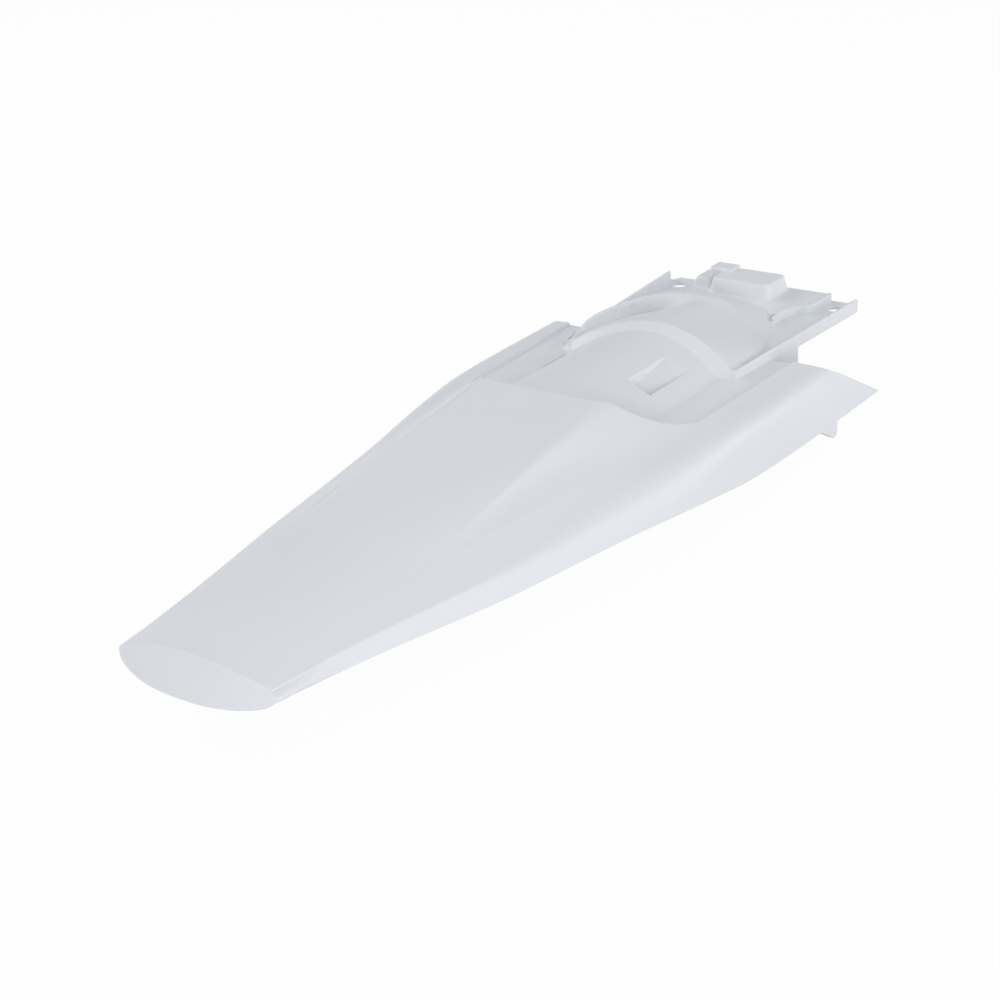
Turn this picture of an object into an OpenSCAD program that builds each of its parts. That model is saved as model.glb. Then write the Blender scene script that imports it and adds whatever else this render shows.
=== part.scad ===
// Rear fender of an off-road motorcycle, moulded in one piece.
// X points forward, Y to the left and Z up. The origin lies halfway between the two
// front bolt holes, on top of the mounting plate.

/* [Overall] */
// Bolt line to the rearmost point of the tail
tail_reach = 697; // [600:1:760]
// Width over the two wings
wing_w = 260; // [236:1:290]
// Width of the tail's end, over its lower corners
tip_w = 118; // [96:1:150]
// Thickness of the moulded skin
wall = 2.6; // [2:0.1:3.2]
// Thickness of the deck and the mounting plate
plate_t = 3; // [2.4:0.1:4]

/* [Tail] */
// Bolt line to the plateau's edge behind the seat
seat_back = 322; // [310:1:345]
// Height of that edge over the deck
seat_h = 28; // [26:0.5:36]
// Depth of the tail's upper end edge under the deck
tip_drop = 8; // [0:0.5:20]
// Height of the slanted end face at its middle
tip_face_h = 22; // [14:0.5:30]
// Height of the end face at its corners
tip_corner_h = 8; // [5:0.5:12]
// How far the end face leans back from top to bottom
tip_face_lean = 15; // [5:0.5:25]
// Radius of the end face's lower corners, seen from above
tip_corner_r = 12; // [4:1:20]
// How far the flanks stand out beside the end face
tip_bulge = 2; // [0:0.5:4]
// Crown of the tail, as the drop at 50 mm from the middle
tail_crown = 7; // [3:0.5:10]
// Depth of the side crease under the deck
crease_drop = 15.7; // [12:0.1:22]
// Width of the raised plateau
plateau_w = 106; // [90:1:120]
// Length of the plateau, from the seat edge to the tips of its side walls
plateau_l = 232; // [180:1:270]

/* [Wings] */
// Width between the wings' inner edges in front
wing_gap = 206; // [200:1:212]
// Narrowing of that gap at the back of the seat recess
wing_taper = 9; // [4:1:14]
// Height of the wings' inner edges over the deck
wing_step = 0.8; // [0.3:0.1:1.6]
// Depth of the wings' lower edge under the deck
wing_drop = 48.5; // [42:0.5:60]
// Bolt line to the front of the wings' inner edges
wing_front = 128; // [112:1:150]
// Radius of the wings' shoulder
shoulder_r = 19; // [8:0.5:22]
// How far the slanted front edge reaches forward over the wing's height
wing_rake = 91; // [50:1:105]
// Length of the tab under each wing
tab_l = 38; // [25:1:55]
// How far each tab reaches down under the wing's edge
tab_h = 11.5; // [7:0.5:16]
// Bolt line to the tabs' front ends
tab_front = 111; // [100:1:130]
// Radius of the tabs' lower corner
tab_round_r = 5; // [2:0.5:7]
// Thickness of the tabs
tab_t = 5; // [3:0.5:8]

/* [Arch and dome] */
// Height of the arch in the seat recess
arch_h = 23; // [18:0.5:25]
// Half width of the arch at the deck
arch_foot = 65; // [60:0.5:67]
// Bolt line to the foot of the ring, at the middle
ring_back = 172; // [166:1:185]
// Height gained over the ring's bevelled face
ring_rise = 4.7; // [2:0.1:8]
// Length of the ring's bevelled face
ring_l = 12; // [6:0.5:18]
// Half width of the dome at the ring
dome_half_w = 70; // [68:0.5:71]
// Bolt line to the crease round the dome's front
dome_front = 88; // [82:1:100]
// Height of that crease at the middle
dome_h = 21.5; // [16:0.5:24]
// Bolt line to the crest of the rim in front of the dome
rim_front = 73; // [62:1:78]
// Height of the rim's crest
rim_h = 22.5; // [18:0.5:28]
// Bolt line to the foot of the rim's front slope
slope_front = 27; // [24:1:40]

/* [Pocket] */
// Length of the sunk pocket in the arch's right side
pocket_l = 62; // [40:1:70]
// Width of the pocket
pocket_w = 19; // [12:1:22]
// Middle of the pocket, measured from the centre line
pocket_y = 40; // [34:1:44]
// Bolt line to the pocket's front end
pocket_front = 193; // [190:1:205]
// Depth of the pocket's floor at its rear end
pocket_depth = 8; // [5:0.5:10]

/* [Mounting plate] */
// Spacing of the two bolt holes
bolt_gap = 147; // [140:0.5:152]
// Diameter of the bolt holes
bolt_d = 12.5; // [6:0.5:14]
// Reach of the plate in front of the bolt line
plate_front = 18; // [14:0.5:24]
// Width over the flanges at their rear ends
flange_back_w = 156; // [152:1:160]
// Width over the flanges at their front ends
flange_front_w = 178; // [172:1:188]
// Bolt line to the flanges' rear ends
flange_back = 178; // [170:1:186]
// Reach of the flanges in front of the bolt line
flange_front = 8; // [2:0.5:12]
// Height of the flanges over the plate, in front
flange_h = 8; // [5:0.5:12]
// How much lower they are at their rear ends
flange_fall = 1.5; // [0:0.5:4]
// Thickness of the flanges, the lip and the webs
rib_t = 2.8; // [2:0.1:4]
// Depth of the webs under the flanges
web_h = 21; // [8:1:30]
// Length of each web
web_l = 42; // [30:1:44]

/* [Platform and boss] */
// Height of the platform over the plate
platform_h = 5.5; // [3:0.5:6]
// Height of the lip over the plate
lip_h = 6.5; // [5:0.5:10]
// Length of the boss at its foot, across the fender
boss_l = 60; // [50:1:70]
// Width of the boss at its foot, along the fender
boss_w = 40; // [30:1:44]
// Height of the boss over the plate
boss_h = 18; // [12:0.5:24]
// Draft of the boss's sides from foot to top
boss_draft = 3.5; // [1:0.5:6]

/* [Hidden] */

// The crown is stated at this distance from the middle
crown_at = 50;
// Past every face, for cuts and masses
far = 400;
// Small overlap, so that a cut passes its face
eps = 0.5;
// Drop of the tail's end edge from its middle to its corners
tip_crown = tail_crown * pow(tip_w / 2 / crown_at, 2);
// Station of the upper edge of the end face, at the middle
tip_x = -tail_reach + tip_face_lean;
// Station of the tips of the plateau's side walls
v_tip_x = -seat_back - plateau_l;
// Station where the wings' inner edges leave the curved seat edge
wing_start_x = -seat_back + 56;
// Station of the wings' pointed front ends
wing_tip_x = -wing_front + wing_rake;
// Half width of the straight middle of the seat edge
seat_straight = 44;
// Bow of the end edge in plan, from middle to corner
tip_bow = 3;
// Middle of the boss, left of the centre line
boss_y = 5;
// Curve of the arch and the ring's faces across the fender
arch_curve = arch_h / pow(arch_foot, 2);
ring_curve = 0.0045;
ring_sweep = 0.0028;

// Value between a and b
function mix(a, b, u) = a + (b - a) * u;
// Share of the way from a to b, kept within 0 and 1
function share(a, b, x) = max(0, min(1, (x - a) / (b - a)));
// The same with soft ends
function ease(a, b, x) = let(u = share(a, b, x)) u * u * (3 - 2 * u);
function unit(v) = v / norm(v);
// Point of a quadratic curve from p to r with control point q
function bow(p, q, r, u) = mix(mix(p, q, u), mix(q, r, u), u);

// Smooth curve through keys of [place, value]
function key_span(k, x, i = 0) =
    i >= len(k) - 2 || x < k[i + 1][0] ? i : key_span(k, x, i + 1);
function key_slope(k, i) =
    let(a = max(0, i - 1), b = min(len(k) - 1, i + 1))
    (k[b][1] - k[a][1]) / (k[b][0] - k[a][0]);
function along(k, x) =
    let(i = key_span(k, x), h = k[i + 1][0] - k[i][0], u = share(k[i][0], k[i + 1][0], x))
    let(d0 = key_slope(k, i) * h, d1 = key_slope(k, i + 1) * h, rise = k[i + 1][1] - k[i][1])
    k[i][1] + u * d0 + u * u * (3 * rise - 2 * d0 - d1) + u * u * u * (d0 + d1 - 2 * rise);

// Stations: shares of the tail from its end to the seat edge, and of the recess in front of it
function at_tail(u) = mix(tip_x, -seat_back, u);
function at_recess(u) = mix(-seat_back, -wing_front, u);
function tail_share(x) = share(tip_x, -seat_back, x);

// Height of the centre line, and of the crowned tail at distance y from it
function centre_z(x) = mix(-tip_drop, seat_h, pow(tail_share(x), 1.28));
function crown_z(x, y) = centre_z(x) - tail_crown * pow(y / crown_at, 2);
// The plateau flattens towards the seat
flat_from = tail_share(v_tip_x);
function plateau_z(x, y) = mix(crown_z(x, y), centre_z(x), ease(flat_from, 0.85, tail_share(x)));

// Lower edges: half width as a share of the way from the tip's to the wings', and height likewise
edge_y_keys = [[at_tail(0), 0], [at_tail(0.19), 0.18], [at_tail(0.48), 0.51], [at_tail(0.8), 0.79],
    [at_tail(1), 0.957], [at_recess(0.4), 1], [wing_tip_x, 1]];
edge_z_keys = [[at_tail(0), 0], [at_tail(0.19), 0.01], [at_tail(0.48), 0.14], [at_tail(0.8), 0.23],
    [at_tail(1), 0.37], [at_recess(0.4), 0.73], [at_recess(0.86), 0.9], [wing_tip_x, 1]];
function edge_y(x) = mix(tip_w / 2, wing_w / 2, along(edge_y_keys, x));
function edge_z(x) = mix(-tip_drop - tip_crown - tip_corner_h, -wing_drop, along(edge_z_keys, x));

// Crease between the top and the flank: how far it lies inside the lower edge, and its height.
// It is sharp on the tail. Towards the wings it rises to the deck and becomes a round shoulder
crease_y_keys = [[at_tail(0), 2.5], [at_tail(0.3), 6.7], [at_tail(0.55), 8], [at_tail(0.8), 6],
    [at_tail(1), 5], [at_recess(0.6), 1], [wing_tip_x, 0.3]];
crease_z_keys = [[at_tail(0), 1], [at_tail(0.5), 1], [at_tail(0.8), 0.86], [at_tail(1), 0.48],
    [at_recess(0.3), 0.12], [at_recess(0.6), 0.08], [wing_tip_x, 0.08]];
function crease_y(x) = edge_y(x) - along(crease_y_keys, x);
function crease_z(x) =
    mix(crown_z(x, crease_y(x)), -crease_drop * along(crease_z_keys, x), ease(0, 0.45, tail_share(x)));
function crease_round(x) = mix(wall + 0.1, shoulder_r, ease(at_tail(0.35), at_recess(0), x));

// Edge of the plateau, and the foot of its side wall, which runs on as the wings' inner edge
function ridge_y(x) = min(plateau_w / 2, 0.69 * crease_y(x));
function ridge_z(x) = plateau_z(x, ridge_y(x));
function inner_y(x) = mix(wing_gap - wing_taper, wing_gap, share(wing_start_x, -wing_front, x)) / 2;
valley_keys = [[v_tip_x, plateau_w / 2 + 2], [wing_start_x - 16, inner_y(wing_start_x) - 2.5],
    [wing_start_x, inner_y(wing_start_x) - 1.5], [-wing_front, wing_gap / 2 - 1.5], [wing_tip_x, wing_gap / 2]];
function valley_y(x) =
    x < v_tip_x ? ridge_y(x) + mix(8, 2, share(tip_x, v_tip_x, x)) : along(valley_keys, x);
function valley_z(x) =
    x < v_tip_x ? crown_z(x, valley_y(x))
        : mix(crown_z(v_tip_x, valley_y(v_tip_x)), wing_step, pow(share(v_tip_x, wing_start_x, x), 0.6));
// Hollow of the side wall
wall_hollow = 1.6;
function wall_dip(x) =
    wall_hollow * ease(v_tip_x, v_tip_x + 80, x) * (1 - ease(-seat_back - 80, -seat_back, x));

// Half of the skin's cross-section at station x, from the middle to the lower edge
crown_steps = [0, 0.3, 0.6, 0.85, 1];
wall_steps = [0.33, 0.67, 1];
round_steps = [0.25, 0.5, 0.75, 1];
flank_steps = [0.5, 1];
// The flank bulges where it rounds into the end face
function flank_bulge(x, u) = tip_bulge * sin(180 * u) * (1 - ease(0, 0.15, tail_share(x)));
function half_section(x) =
    let(r = [ridge_y(x), ridge_z(x)], v = [valley_y(x), valley_z(x)])
    let(c = [crease_y(x), crease_z(x)], e = [edge_y(x), edge_z(x)], k = crease_round(x))
    let(c0 = c + k * unit(v - c), c1 = c + k * unit(e - c))
    concat(
        [for (u = crown_steps) [x, u * r[0], plateau_z(x, u * r[0])]],
        [for (u = wall_steps) [x, mix(r[0], v[0], u), mix(r[1], v[1], u) - wall_dip(x) * sin(180 * u)]],
        [for (u = [0.5, 1]) [x, mix(v[0], c0[0], u), mix(v[1], c0[1], u)]],
        [for (u = round_steps) let(p = bow(c0, c, c1, u)) [x, p[0], p[1]]],
        [for (u = flank_steps) [x, mix(c1[0], e[0], u) + flank_bulge(x, u), mix(c1[1], e[1], u)]]);

// Full-width row of points from a half, right side first
function full_row(half) = concat(
    [for (i = [len(half) - 1:-1:1]) [half[i][0], -half[i][1], half[i][2]]], half);

// The skin runs a little past both of its ends, which are cut at a slant
skin_stations = concat([tip_x - tip_face_lean - 8],
    [for (u = [0.045, 0.2, 0.4, 0.6, 0.8]) mix(tip_x, v_tip_x, u)],
    [for (u = [0:1 / 12:0.999]) mix(v_tip_x, wing_start_x, u)],
    [for (u = [0:1 / 9:1.001]) mix(wing_start_x, wing_tip_x + 6, u)]);
skin_top = [for (x = skin_stations) full_row(half_section(x))];

// End face: it leans back from its upper edge, which bows back in the middle
// v runs from 0 at that edge to 1 at the lower edge. The corners turn forward, more so further down
function corner_turn(y, v) =
    let(r = tip_corner_r * share(0, 1, v), d = abs(y) - tip_w / 2 + r)
    d <= 0 ? 0 : d < r ? r - sqrt(r * r - d * d) : r + 3 * (d - r);
function face_point(y, v) = [tip_x + tip_bow * pow(y / (tip_w / 2), 2) - v * tip_face_lean + corner_turn(y, v),
    y, crown_z(tip_x, y) - v * tip_face_h];
function face_low_z(y) =
    crown_z(tip_x, y) - mix(tip_face_h, tip_corner_h, pow(min(1, abs(y) / (tip_w / 2)), 2.5));
face_half = [for (u = [0, 0.3, 0.52, 0.62, 0.77, 0.86, 0.92, 0.985, 1.02, 1.3]) u * tip_w / 2];
face_steps = concat([for (i = [len(face_half) - 1:-1:1]) -face_half[i]], face_half);

// Rings of points round the dome: t runs from -1 on the right to 1 on the left
dome_steps = 14;
sweep = [for (i = [-dome_steps:dome_steps]) i / dome_steps];
function arch_z(y) = arch_h - arch_curve * y * y;
function ring_point(t, half_w, x, z, curve) =
    let(y = t * half_w) [x - ring_sweep * y * y, y, z - curve * y * y];
// Rounded outline that starts and ends at the ring: a is its reach, b its half width
function round_plan(t, a, b, n) =
    let(c = max(0, cos(90 * t)), s = sin(90 * t), r = pow(pow(c, n) + pow(abs(s), n), -1 / n))
    [-ring_back + a * r * c, b * r * s];
// Crease round the dome, which sinks to the ring's height at the sides
side_h = 6;
function crease_ring(t) =
    let(p = round_plan(t, ring_back - dome_front, dome_half_w + 0.5, 3.1))
    [p[0], p[1], side_h + (dome_h - side_h) * exp(-pow(p[1] / 33.5, 2)) - ease(0.85, 1, abs(t))];
// Crest of the rim: a high half-round rib on the left, fading out on the right
left_crest = [[0, 1], [0.21, 1], [0.37, 0.95], [0.49, 0.9], [0.65, 0.8], [0.75, 0.77],
    [0.83, 0.7], [0.93, 0.45], [1, 0.22]];
function fading_crest(t) =
    let(crease = crease_ring(t)[2], fall = 0.4 * ease(0, 0.55, t), rise = (rim_h - dome_h) * (1 - ease(0, 0.35, t)))
    mix(crease, foot_ring(t)[2], fall) + rise;
function crest_ring(t) =
    let(p = round_plan(t, ring_back - rim_front, dome_half_w + 4, 2.25))
    [p[0], p[1], t > 0 ? rim_h * along(left_crest, t) : fading_crest(-t)];
// Foot of the rim: on the platform in front, on the plate at the sides and a little up the flanges
function foot_ring(t) =
    let(p = round_plan(t, ring_back - slope_front, dome_half_w + 5, 2.2), u = abs(t))
    [p[0], p[1], mix(platform_h - 0.7, -eps, ease(0.3, 0.5, u)) + (side_h - 1.5) * ease(0.75, 1, u)];
// How far the rim is a half-round rib, rather than a soft slope
function rib_like(t) = ease(0.2, 0.4, t);
function between(a, b, plan, rise) = [mix(a[0], b[0], plan), mix(a[1], b[1], plan), mix(a[2], b[2], rise)];

// A row ends in a short apron that dips into the plate
function aproned(row) =
    let(a = row[0], b = row[len(row) - 1], sink = -plate_t / 2)
    concat([[a[0] - 1, a[1] - 1.5, sink]], row, [[b[0] - 1, b[1] + 1.5, sink]]);

dome_top = concat(
    [for (u = [0, 0.35, 0.7, 1]) aproned([for (t = sweep)
        let(y = t * (arch_foot + eps))
        [mix(-seat_back - wall / 2, -ring_back, u) - ring_sweep * y * y * u, y, arch_z(y)]])],
    [for (u = [0, 0.25, 0.5, 0.75]) aproned([for (t = sweep) mix(
        ring_point(t, dome_half_w, -ring_back + ring_l, arch_h + ring_rise, ring_curve),
        crease_ring(t), u)])],
    [for (u = [0, 0.35, 0.7, 1]) aproned([for (t = sweep)
        between(crease_ring(t), crest_ring(t), u, sin(90 * u))])],
    [for (u = [0.2, 0.45, 0.75, 1]) aproned([for (t = sweep) between(crest_ring(t), foot_ring(t), u,
        mix(pow(u, 1.15), 1 - sqrt(max(0, 1 - u * u)), rib_like(t)))])]);

// Unit normal of a grid of points at row i and column j
function grid_normal(g, i, j) = unit(cross(
    g[min(len(g) - 1, i + 1)][j] - g[max(0, i - 1)][j],
    g[i][min(len(g[0]) - 1, j + 1)] - g[i][max(0, j - 1)]));

// Closed solid between two grids of points with the same rows and columns
module between_grids(top, under) {
    rows = len(top);
    cols = len(top[0]);
    n = rows * cols;
    function at(i, j) = i * cols + j;
    function quad(a, b, c, d) = [[a, b, d], [b, c, d]];
    polyhedron(concat([for (r = top) each r], [for (r = under) each r]), concat(
        [for (i = [0:rows - 2], j = [0:cols - 2]) each
            concat(quad(at(i, j), at(i, j + 1), at(i + 1, j + 1), at(i + 1, j)),
                quad(n + at(i, j), n + at(i + 1, j), n + at(i + 1, j + 1), n + at(i, j + 1)))],
        [for (i = [0:rows - 2], side = [0, cols - 1]) each
            side == 0 ? quad(at(i, 0), at(i + 1, 0), n + at(i + 1, 0), n + at(i, 0))
                : quad(at(i, side), n + at(i, side), n + at(i + 1, side), at(i + 1, side))],
        [for (j = [0:cols - 2], end = [0, rows - 1]) each
            end == 0 ? quad(at(0, j), n + at(0, j), n + at(0, j + 1), at(0, j + 1))
                : quad(at(end, j), at(end, j + 1), n + at(end, j + 1), n + at(end, j))]));
}

// Sheet of thickness t under a grid of points
module sheet(g, t) {
    between_grids(g, [for (i = [0:len(g) - 1])
        [for (j = [0:len(g[0]) - 1]) g[i][j] - t * grid_normal(g, i, j)]]);
}

// Everything under a grid of points, down to a low floor
module mass(g) {
    between_grids(g, [for (row = g) [for (p = row) [p[0], p[1], -far]]]);
}

// Plan of the seat recess between the plateau and the wings, open in front
module recess_plan() {
    corner = [[-seat_back, seat_straight], [-seat_back + 17, wing_gap / 2 - 19],
        [wing_start_x, inner_y(wing_start_x)]];
    half = concat(
        [for (u = [0:1 / 8:1.001]) bow(corner[0], corner[1], corner[2], u)],
        [[-wing_front + 6, wing_gap / 2], [far, wing_gap / 2]]);
    polygon(concat(half, [for (i = [len(half) - 1:-1:0]) [half[i][0], -half[i][1]]]));
}

// Half width over the flanges at station x
function flange_y(x) = mix(flange_back_w, flange_front_w, share(-flange_back, flange_front, x)) / 2;

// Plan of the flat front plate, with the corners of its ears cut back to the flanges
module plate_plan() {
    ear = [[-flange_back, flange_y(-flange_back) - rib_t / 2], [flange_front, flange_y(flange_front) - rib_t / 2],
        [plate_front, flange_y(flange_front) - 7]];
    polygon(concat(ear, [for (i = [len(ear) - 1:-1:0]) [ear[i][0], -ear[i][1]]]));
}

// Plan of the space under the arch and the dome
module hollow_plan() {
    side = [[-seat_back + wall / 2, seat_straight - 2], [-seat_back + 16, arch_foot - wall],
        [-ring_back, arch_foot - wall]];
    front = [for (t = [0.95:-0.05:0])
        round_plan(t, ring_back - rim_front + 8, dome_half_w + 1, 2.25)];
    half = concat(side, front);
    polygon(concat(half, [for (i = [len(half) - 1:-1:0]) [half[i][0], -half[i][1]]]));
}

// Mounting plate and deck, one flat sheet
module plate() {
    translate([0, 0, -plate_t]) linear_extrude(plate_t) difference() {
        union() {
            plate_plan();
            intersection() {
                offset(delta = wall / 2) recess_plan();
                translate([-far, -far]) square([far - wing_front - 1, 2 * far]);
            }
        }
        hollow_plan();
    }
}

// Block that leaves the wall under the plateau's edge when the recess is cut out of it
module seat_block() {
    intersection() {
        mass(skin_top);
        translate([0, 0, -plate_t / 2]) linear_extrude(seat_h + plate_t + wall) intersection() {
            offset(delta = wall) recess_plan();
            translate([-far, -far]) square([far + wing_start_x + 4, 2 * far]);
        }
    }
}

// Everything behind the end face, or behind its inner side when it is moved forward
module behind_face(forward) {
    face = [for (v = [-2, -0.2, 0.4, 1.1, 5]) [for (y = face_steps) face_point(y, v) + [forward, 0, 0]]];
    between_grids(face, [for (row = face) [for (p = row) [-tail_reach - far, p[1], p[2]]]]);
}

// Wall of the tail's end face, down to its curved lower edge
module face_wall() {
    span = tip_w / 2 + 9;
    lower = [for (u = [-1:0.1:1.001]) [u * span, face_low_z(u * span)]];
    intersection() {
        mass(skin_top);
        behind_face(wall * norm([1, tip_face_lean / tip_face_h]));
        rotate([90, 0, 90]) linear_extrude(2 * tail_reach, center = true)
            polygon(concat(lower, [[span, far], [-span, far]]));
    }
}

// Tail and wings: one skin, open over the seat recess and cut off at a slant at both ends
module tail_skin() {
    slant = [[-wing_front, wing_step], [wing_tip_x, -wing_drop]];
    beyond = (slant[1] - slant[0]) * 4;
    difference() {
        union() {
            sheet(skin_top, wall);
            face_wall();
            seat_block();
        }
        behind_face(0);
        translate([0, 0, -plate_t - eps]) linear_extrude(far) recess_plan();
        rotate([90, 0, 0]) linear_extrude(2 * far, center = true)
            polygon([slant[0] - beyond, slant[0] + beyond, [far, far]]);
    }
}

// Solid over a rectangle in plan, from the surface given by floor_at up to a height above it
module over(x0, x1, y0, y1, floor_at, height) {
    corners = [[x0, y0], [x0, y1], [x1, y1], [x1, y0]];
    low = [for (c = corners) [c[0], c[1], floor_at(c[0], c[1])]];
    high = [for (c = low) c + [0, 0, height]];
    polyhedron(concat(low, high), [[3, 2, 1], [3, 1, 0], [4, 5, 6], [4, 6, 7], [4, 7, 3], [4, 3, 0],
        [7, 6, 2], [7, 2, 3], [6, 5, 1], [6, 1, 2], [5, 4, 0], [5, 0, 1]]);
}

// Floor of the pocket: it follows the arch across and sinks below it towards the rear
function pocket_floor(x, y) =
    arch_z(pocket_y) + 2 * arch_curve * pocket_y * (y + pocket_y) - 1
    - pocket_depth * share(-pocket_front, -pocket_front - pocket_l, x);

module pocket_tray(margin, drop) {
    over(-pocket_front - pocket_l, -pocket_front + margin, -pocket_y - pocket_w / 2 - margin,
        -pocket_y + pocket_w / 2 + margin, function(x, y) pocket_floor(x, y) - drop, far);
}

// Arch, ring, dome and rim: one sheet, with the pocket let into the arch
module arch_and_dome() {
    difference() {
        union() {
            sheet(dome_top, wall);
            intersection() {
                mass(dome_top);
                pocket_tray(wall, wall);
            }
        }
        pocket_tray(0, 0);
        translate([-far, -far, -plate_t - far]) cube([2 * far, 2 * far, far]);
    }
}

// Slit between the left foot of the arch and the deck
module foot_slit() {
    translate([-224, arch_foot - 1, -plate_t - eps]) cube([34, 3.5, plate_t + 3]);
}

// Strip along the left flange line, from station x0 to x1
module flange_strip(x0, x1) {
    polygon([[x0, flange_y(x0)], [x1, flange_y(x1)], [x1, flange_y(x1) - rib_t], [x0, flange_y(x0) - rib_t]]);
}

module both_sides() {
    children();
    mirror([0, 1, 0]) children();
}

// Upright flanges along the plate's sides, with a web under each
module flanges() {
    low = -plate_t - eps;
    outline = [[-flange_back, flange_h - flange_fall], [flange_front, flange_h], [flange_front, low],
        [-wing_front + web_l, low], [-wing_front + web_l, low - web_h], [-wing_front, low - web_h],
        [-wing_front, low], [-flange_back, low]];
    both_sides() intersection() {
        translate([0, 0, -far]) linear_extrude(2 * far) flange_strip(-flange_back - 1, flange_front + 1);
        rotate([90, 0, 0]) linear_extrude(2 * far, center = true) polygon(outline);
    }
}

// Tabs under the wings: wedges that deepen forward and end in a round corner
module tabs() {
    root = -wing_drop + 8;
    both_sides() translate([0, wing_w / 2 - 0.3, 0]) rotate([90, 0, 0]) linear_extrude(tab_t) hull() {
        translate([-tab_front - tab_l, root - 4]) square([tab_l, 4]);
        translate([-tab_front - tab_round_r, -wing_drop - tab_h + tab_round_r]) circle(tab_round_r, $fn = 32);
    }
}

// Plan outline of a path with a given width
function side_step(path, i) =
    let(a = path[max(0, i - 1)], b = path[min(len(path) - 1, i + 1)], d = unit(b - a)) [-d[1], d[0]];
module ribbon(path, w) {
    polygon(concat([for (i = [0:len(path) - 1]) path[i] + w / 2 * side_step(path, i)],
        [for (i = [len(path) - 1:-1:0]) path[i] - w / 2 * side_step(path, i)]));
}

// Lip along the right side of the platform: out from the rim, then forward
lip_path = concat([[-57, -46], [-43, -44.5]],
    [for (u = [0:0.2:1]) bow([-28, -45], [-23, -46], [-23, -52], u)],
    [for (u = [0:0.25:1]) bow([-22, -56], [-16, -60], [-2, -60], u)], [[plate_front, -60]]);
module lip() {
    translate([0, 0, -eps]) linear_extrude(lip_h + eps) ribbon(lip_path, rib_t);
}

// Platform in front of the rim, which carries the boss
module platform() {
    rim_foot = [for (t = [-0.36:0.04:0.36])
        round_plan(t, ring_back - slope_front - 4, dome_half_w + 3, 2.2)];
    translate([0, 0, -eps]) linear_extrude(platform_h + eps)
        polygon(concat(rim_foot, [[-22, 54], [plate_front, 56], [plate_front, -60], [-2, -60], [-22, -54]]));
}

// Block with rounded corners and drafted sides
module drafted_block(size, draft, r) {
    linear_extrude(size[2], scale = [1 - 2 * draft / size[0], 1 - 2 * draft / size[1]])
        offset(r, $fn = 16) square([size[0] - 2 * r, size[1] - 2 * r], center = true);
}

// Boss with its stepped foot, and the small blocks on its left
module boss() {
    front = plate_front - 1;
    translate([front - boss_w / 2, boss_y, 0]) drafted_block([boss_w, boss_l, boss_h], boss_draft, 6);
    translate([front - 9, 33, 0]) drafted_block([18, 23, boss_h + 2], 1, 2);
    translate([front - 15.5, 47, 0]) drafted_block([31, 16, boss_h - 4.5], 4, 2);
}

// Holes for the two front bolts
module bolt_holes() {
    for (y = [-bolt_gap / 2, bolt_gap / 2]) translate([0, y, -plate_t - 1])
        cylinder(d = bolt_d, h = plate_t + 2, $fn = 64);
}

module rear_fender() {
    color("white") difference() {
        resize([0, 0, 0]) union() {
            difference() {
                union() {
                    tail_skin();
                    plate();
                    arch_and_dome();
                }
                foot_slit();
            }
            flanges();
            tabs();
            platform();
            lip();
            boss();
        }
        bolt_holes();
    }
}

rear_fender();
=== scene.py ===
import math

import bmesh
import bpy
import numpy as np
from mathutils import Matrix, Vector
from mathutils.bvhtree import BVHTree


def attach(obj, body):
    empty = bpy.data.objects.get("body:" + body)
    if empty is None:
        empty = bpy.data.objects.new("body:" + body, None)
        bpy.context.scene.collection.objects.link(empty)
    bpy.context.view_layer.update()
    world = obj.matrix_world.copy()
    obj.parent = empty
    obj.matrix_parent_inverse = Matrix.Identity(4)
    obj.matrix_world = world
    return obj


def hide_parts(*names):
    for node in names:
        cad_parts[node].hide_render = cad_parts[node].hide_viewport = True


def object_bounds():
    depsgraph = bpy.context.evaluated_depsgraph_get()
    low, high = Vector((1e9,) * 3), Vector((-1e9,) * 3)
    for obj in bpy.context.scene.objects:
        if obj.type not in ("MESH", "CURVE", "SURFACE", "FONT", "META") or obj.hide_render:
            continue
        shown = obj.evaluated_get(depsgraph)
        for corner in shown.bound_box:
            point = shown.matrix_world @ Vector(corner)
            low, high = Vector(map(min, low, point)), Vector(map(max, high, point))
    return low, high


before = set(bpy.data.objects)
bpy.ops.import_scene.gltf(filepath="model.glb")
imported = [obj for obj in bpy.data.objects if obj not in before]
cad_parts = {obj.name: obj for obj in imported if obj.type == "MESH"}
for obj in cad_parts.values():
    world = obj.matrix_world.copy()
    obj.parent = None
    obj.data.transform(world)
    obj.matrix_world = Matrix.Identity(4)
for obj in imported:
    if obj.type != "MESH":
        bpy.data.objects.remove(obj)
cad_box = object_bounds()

tail_reach, wing_w, tip_w, wall = 697, 260, 118, 2.6
seat_back, seat_h, tip_drop, tail_crown, crown_at = 322, 28, 8, 7, 50
face_h, corner_h, face_lean, bulge, tuck, tip_bow = 22, 8, 15, 4.6, 2, 3
crease_drop, plateau_w, plateau_l, wall_hollow = 15.7, 106, 232, 1.6
wing_gap, wing_taper, wing_step, wing_drop, wing_front, wing_rake = 206, 9, 0.8, 48.5, 128, 91
shoulder_r, crease_r = 19, 0.9
tip_x = -tail_reach + face_lean
v_tip_x = -seat_back - plateau_l
wing_start_x = -seat_back + 56
wing_tip_x = -wing_front + wing_rake
tip_crown = tail_crown * (tip_w / 2 / crown_at) ** 2


def mix(a, b, u):
    return a + (b - a) * u


def share(a, b, x):
    return np.clip((x - a) / (b - a), 0, 1)


def ease(a, b, x):
    u = share(a, b, x)
    return u * u * (3 - 2 * u)


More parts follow.
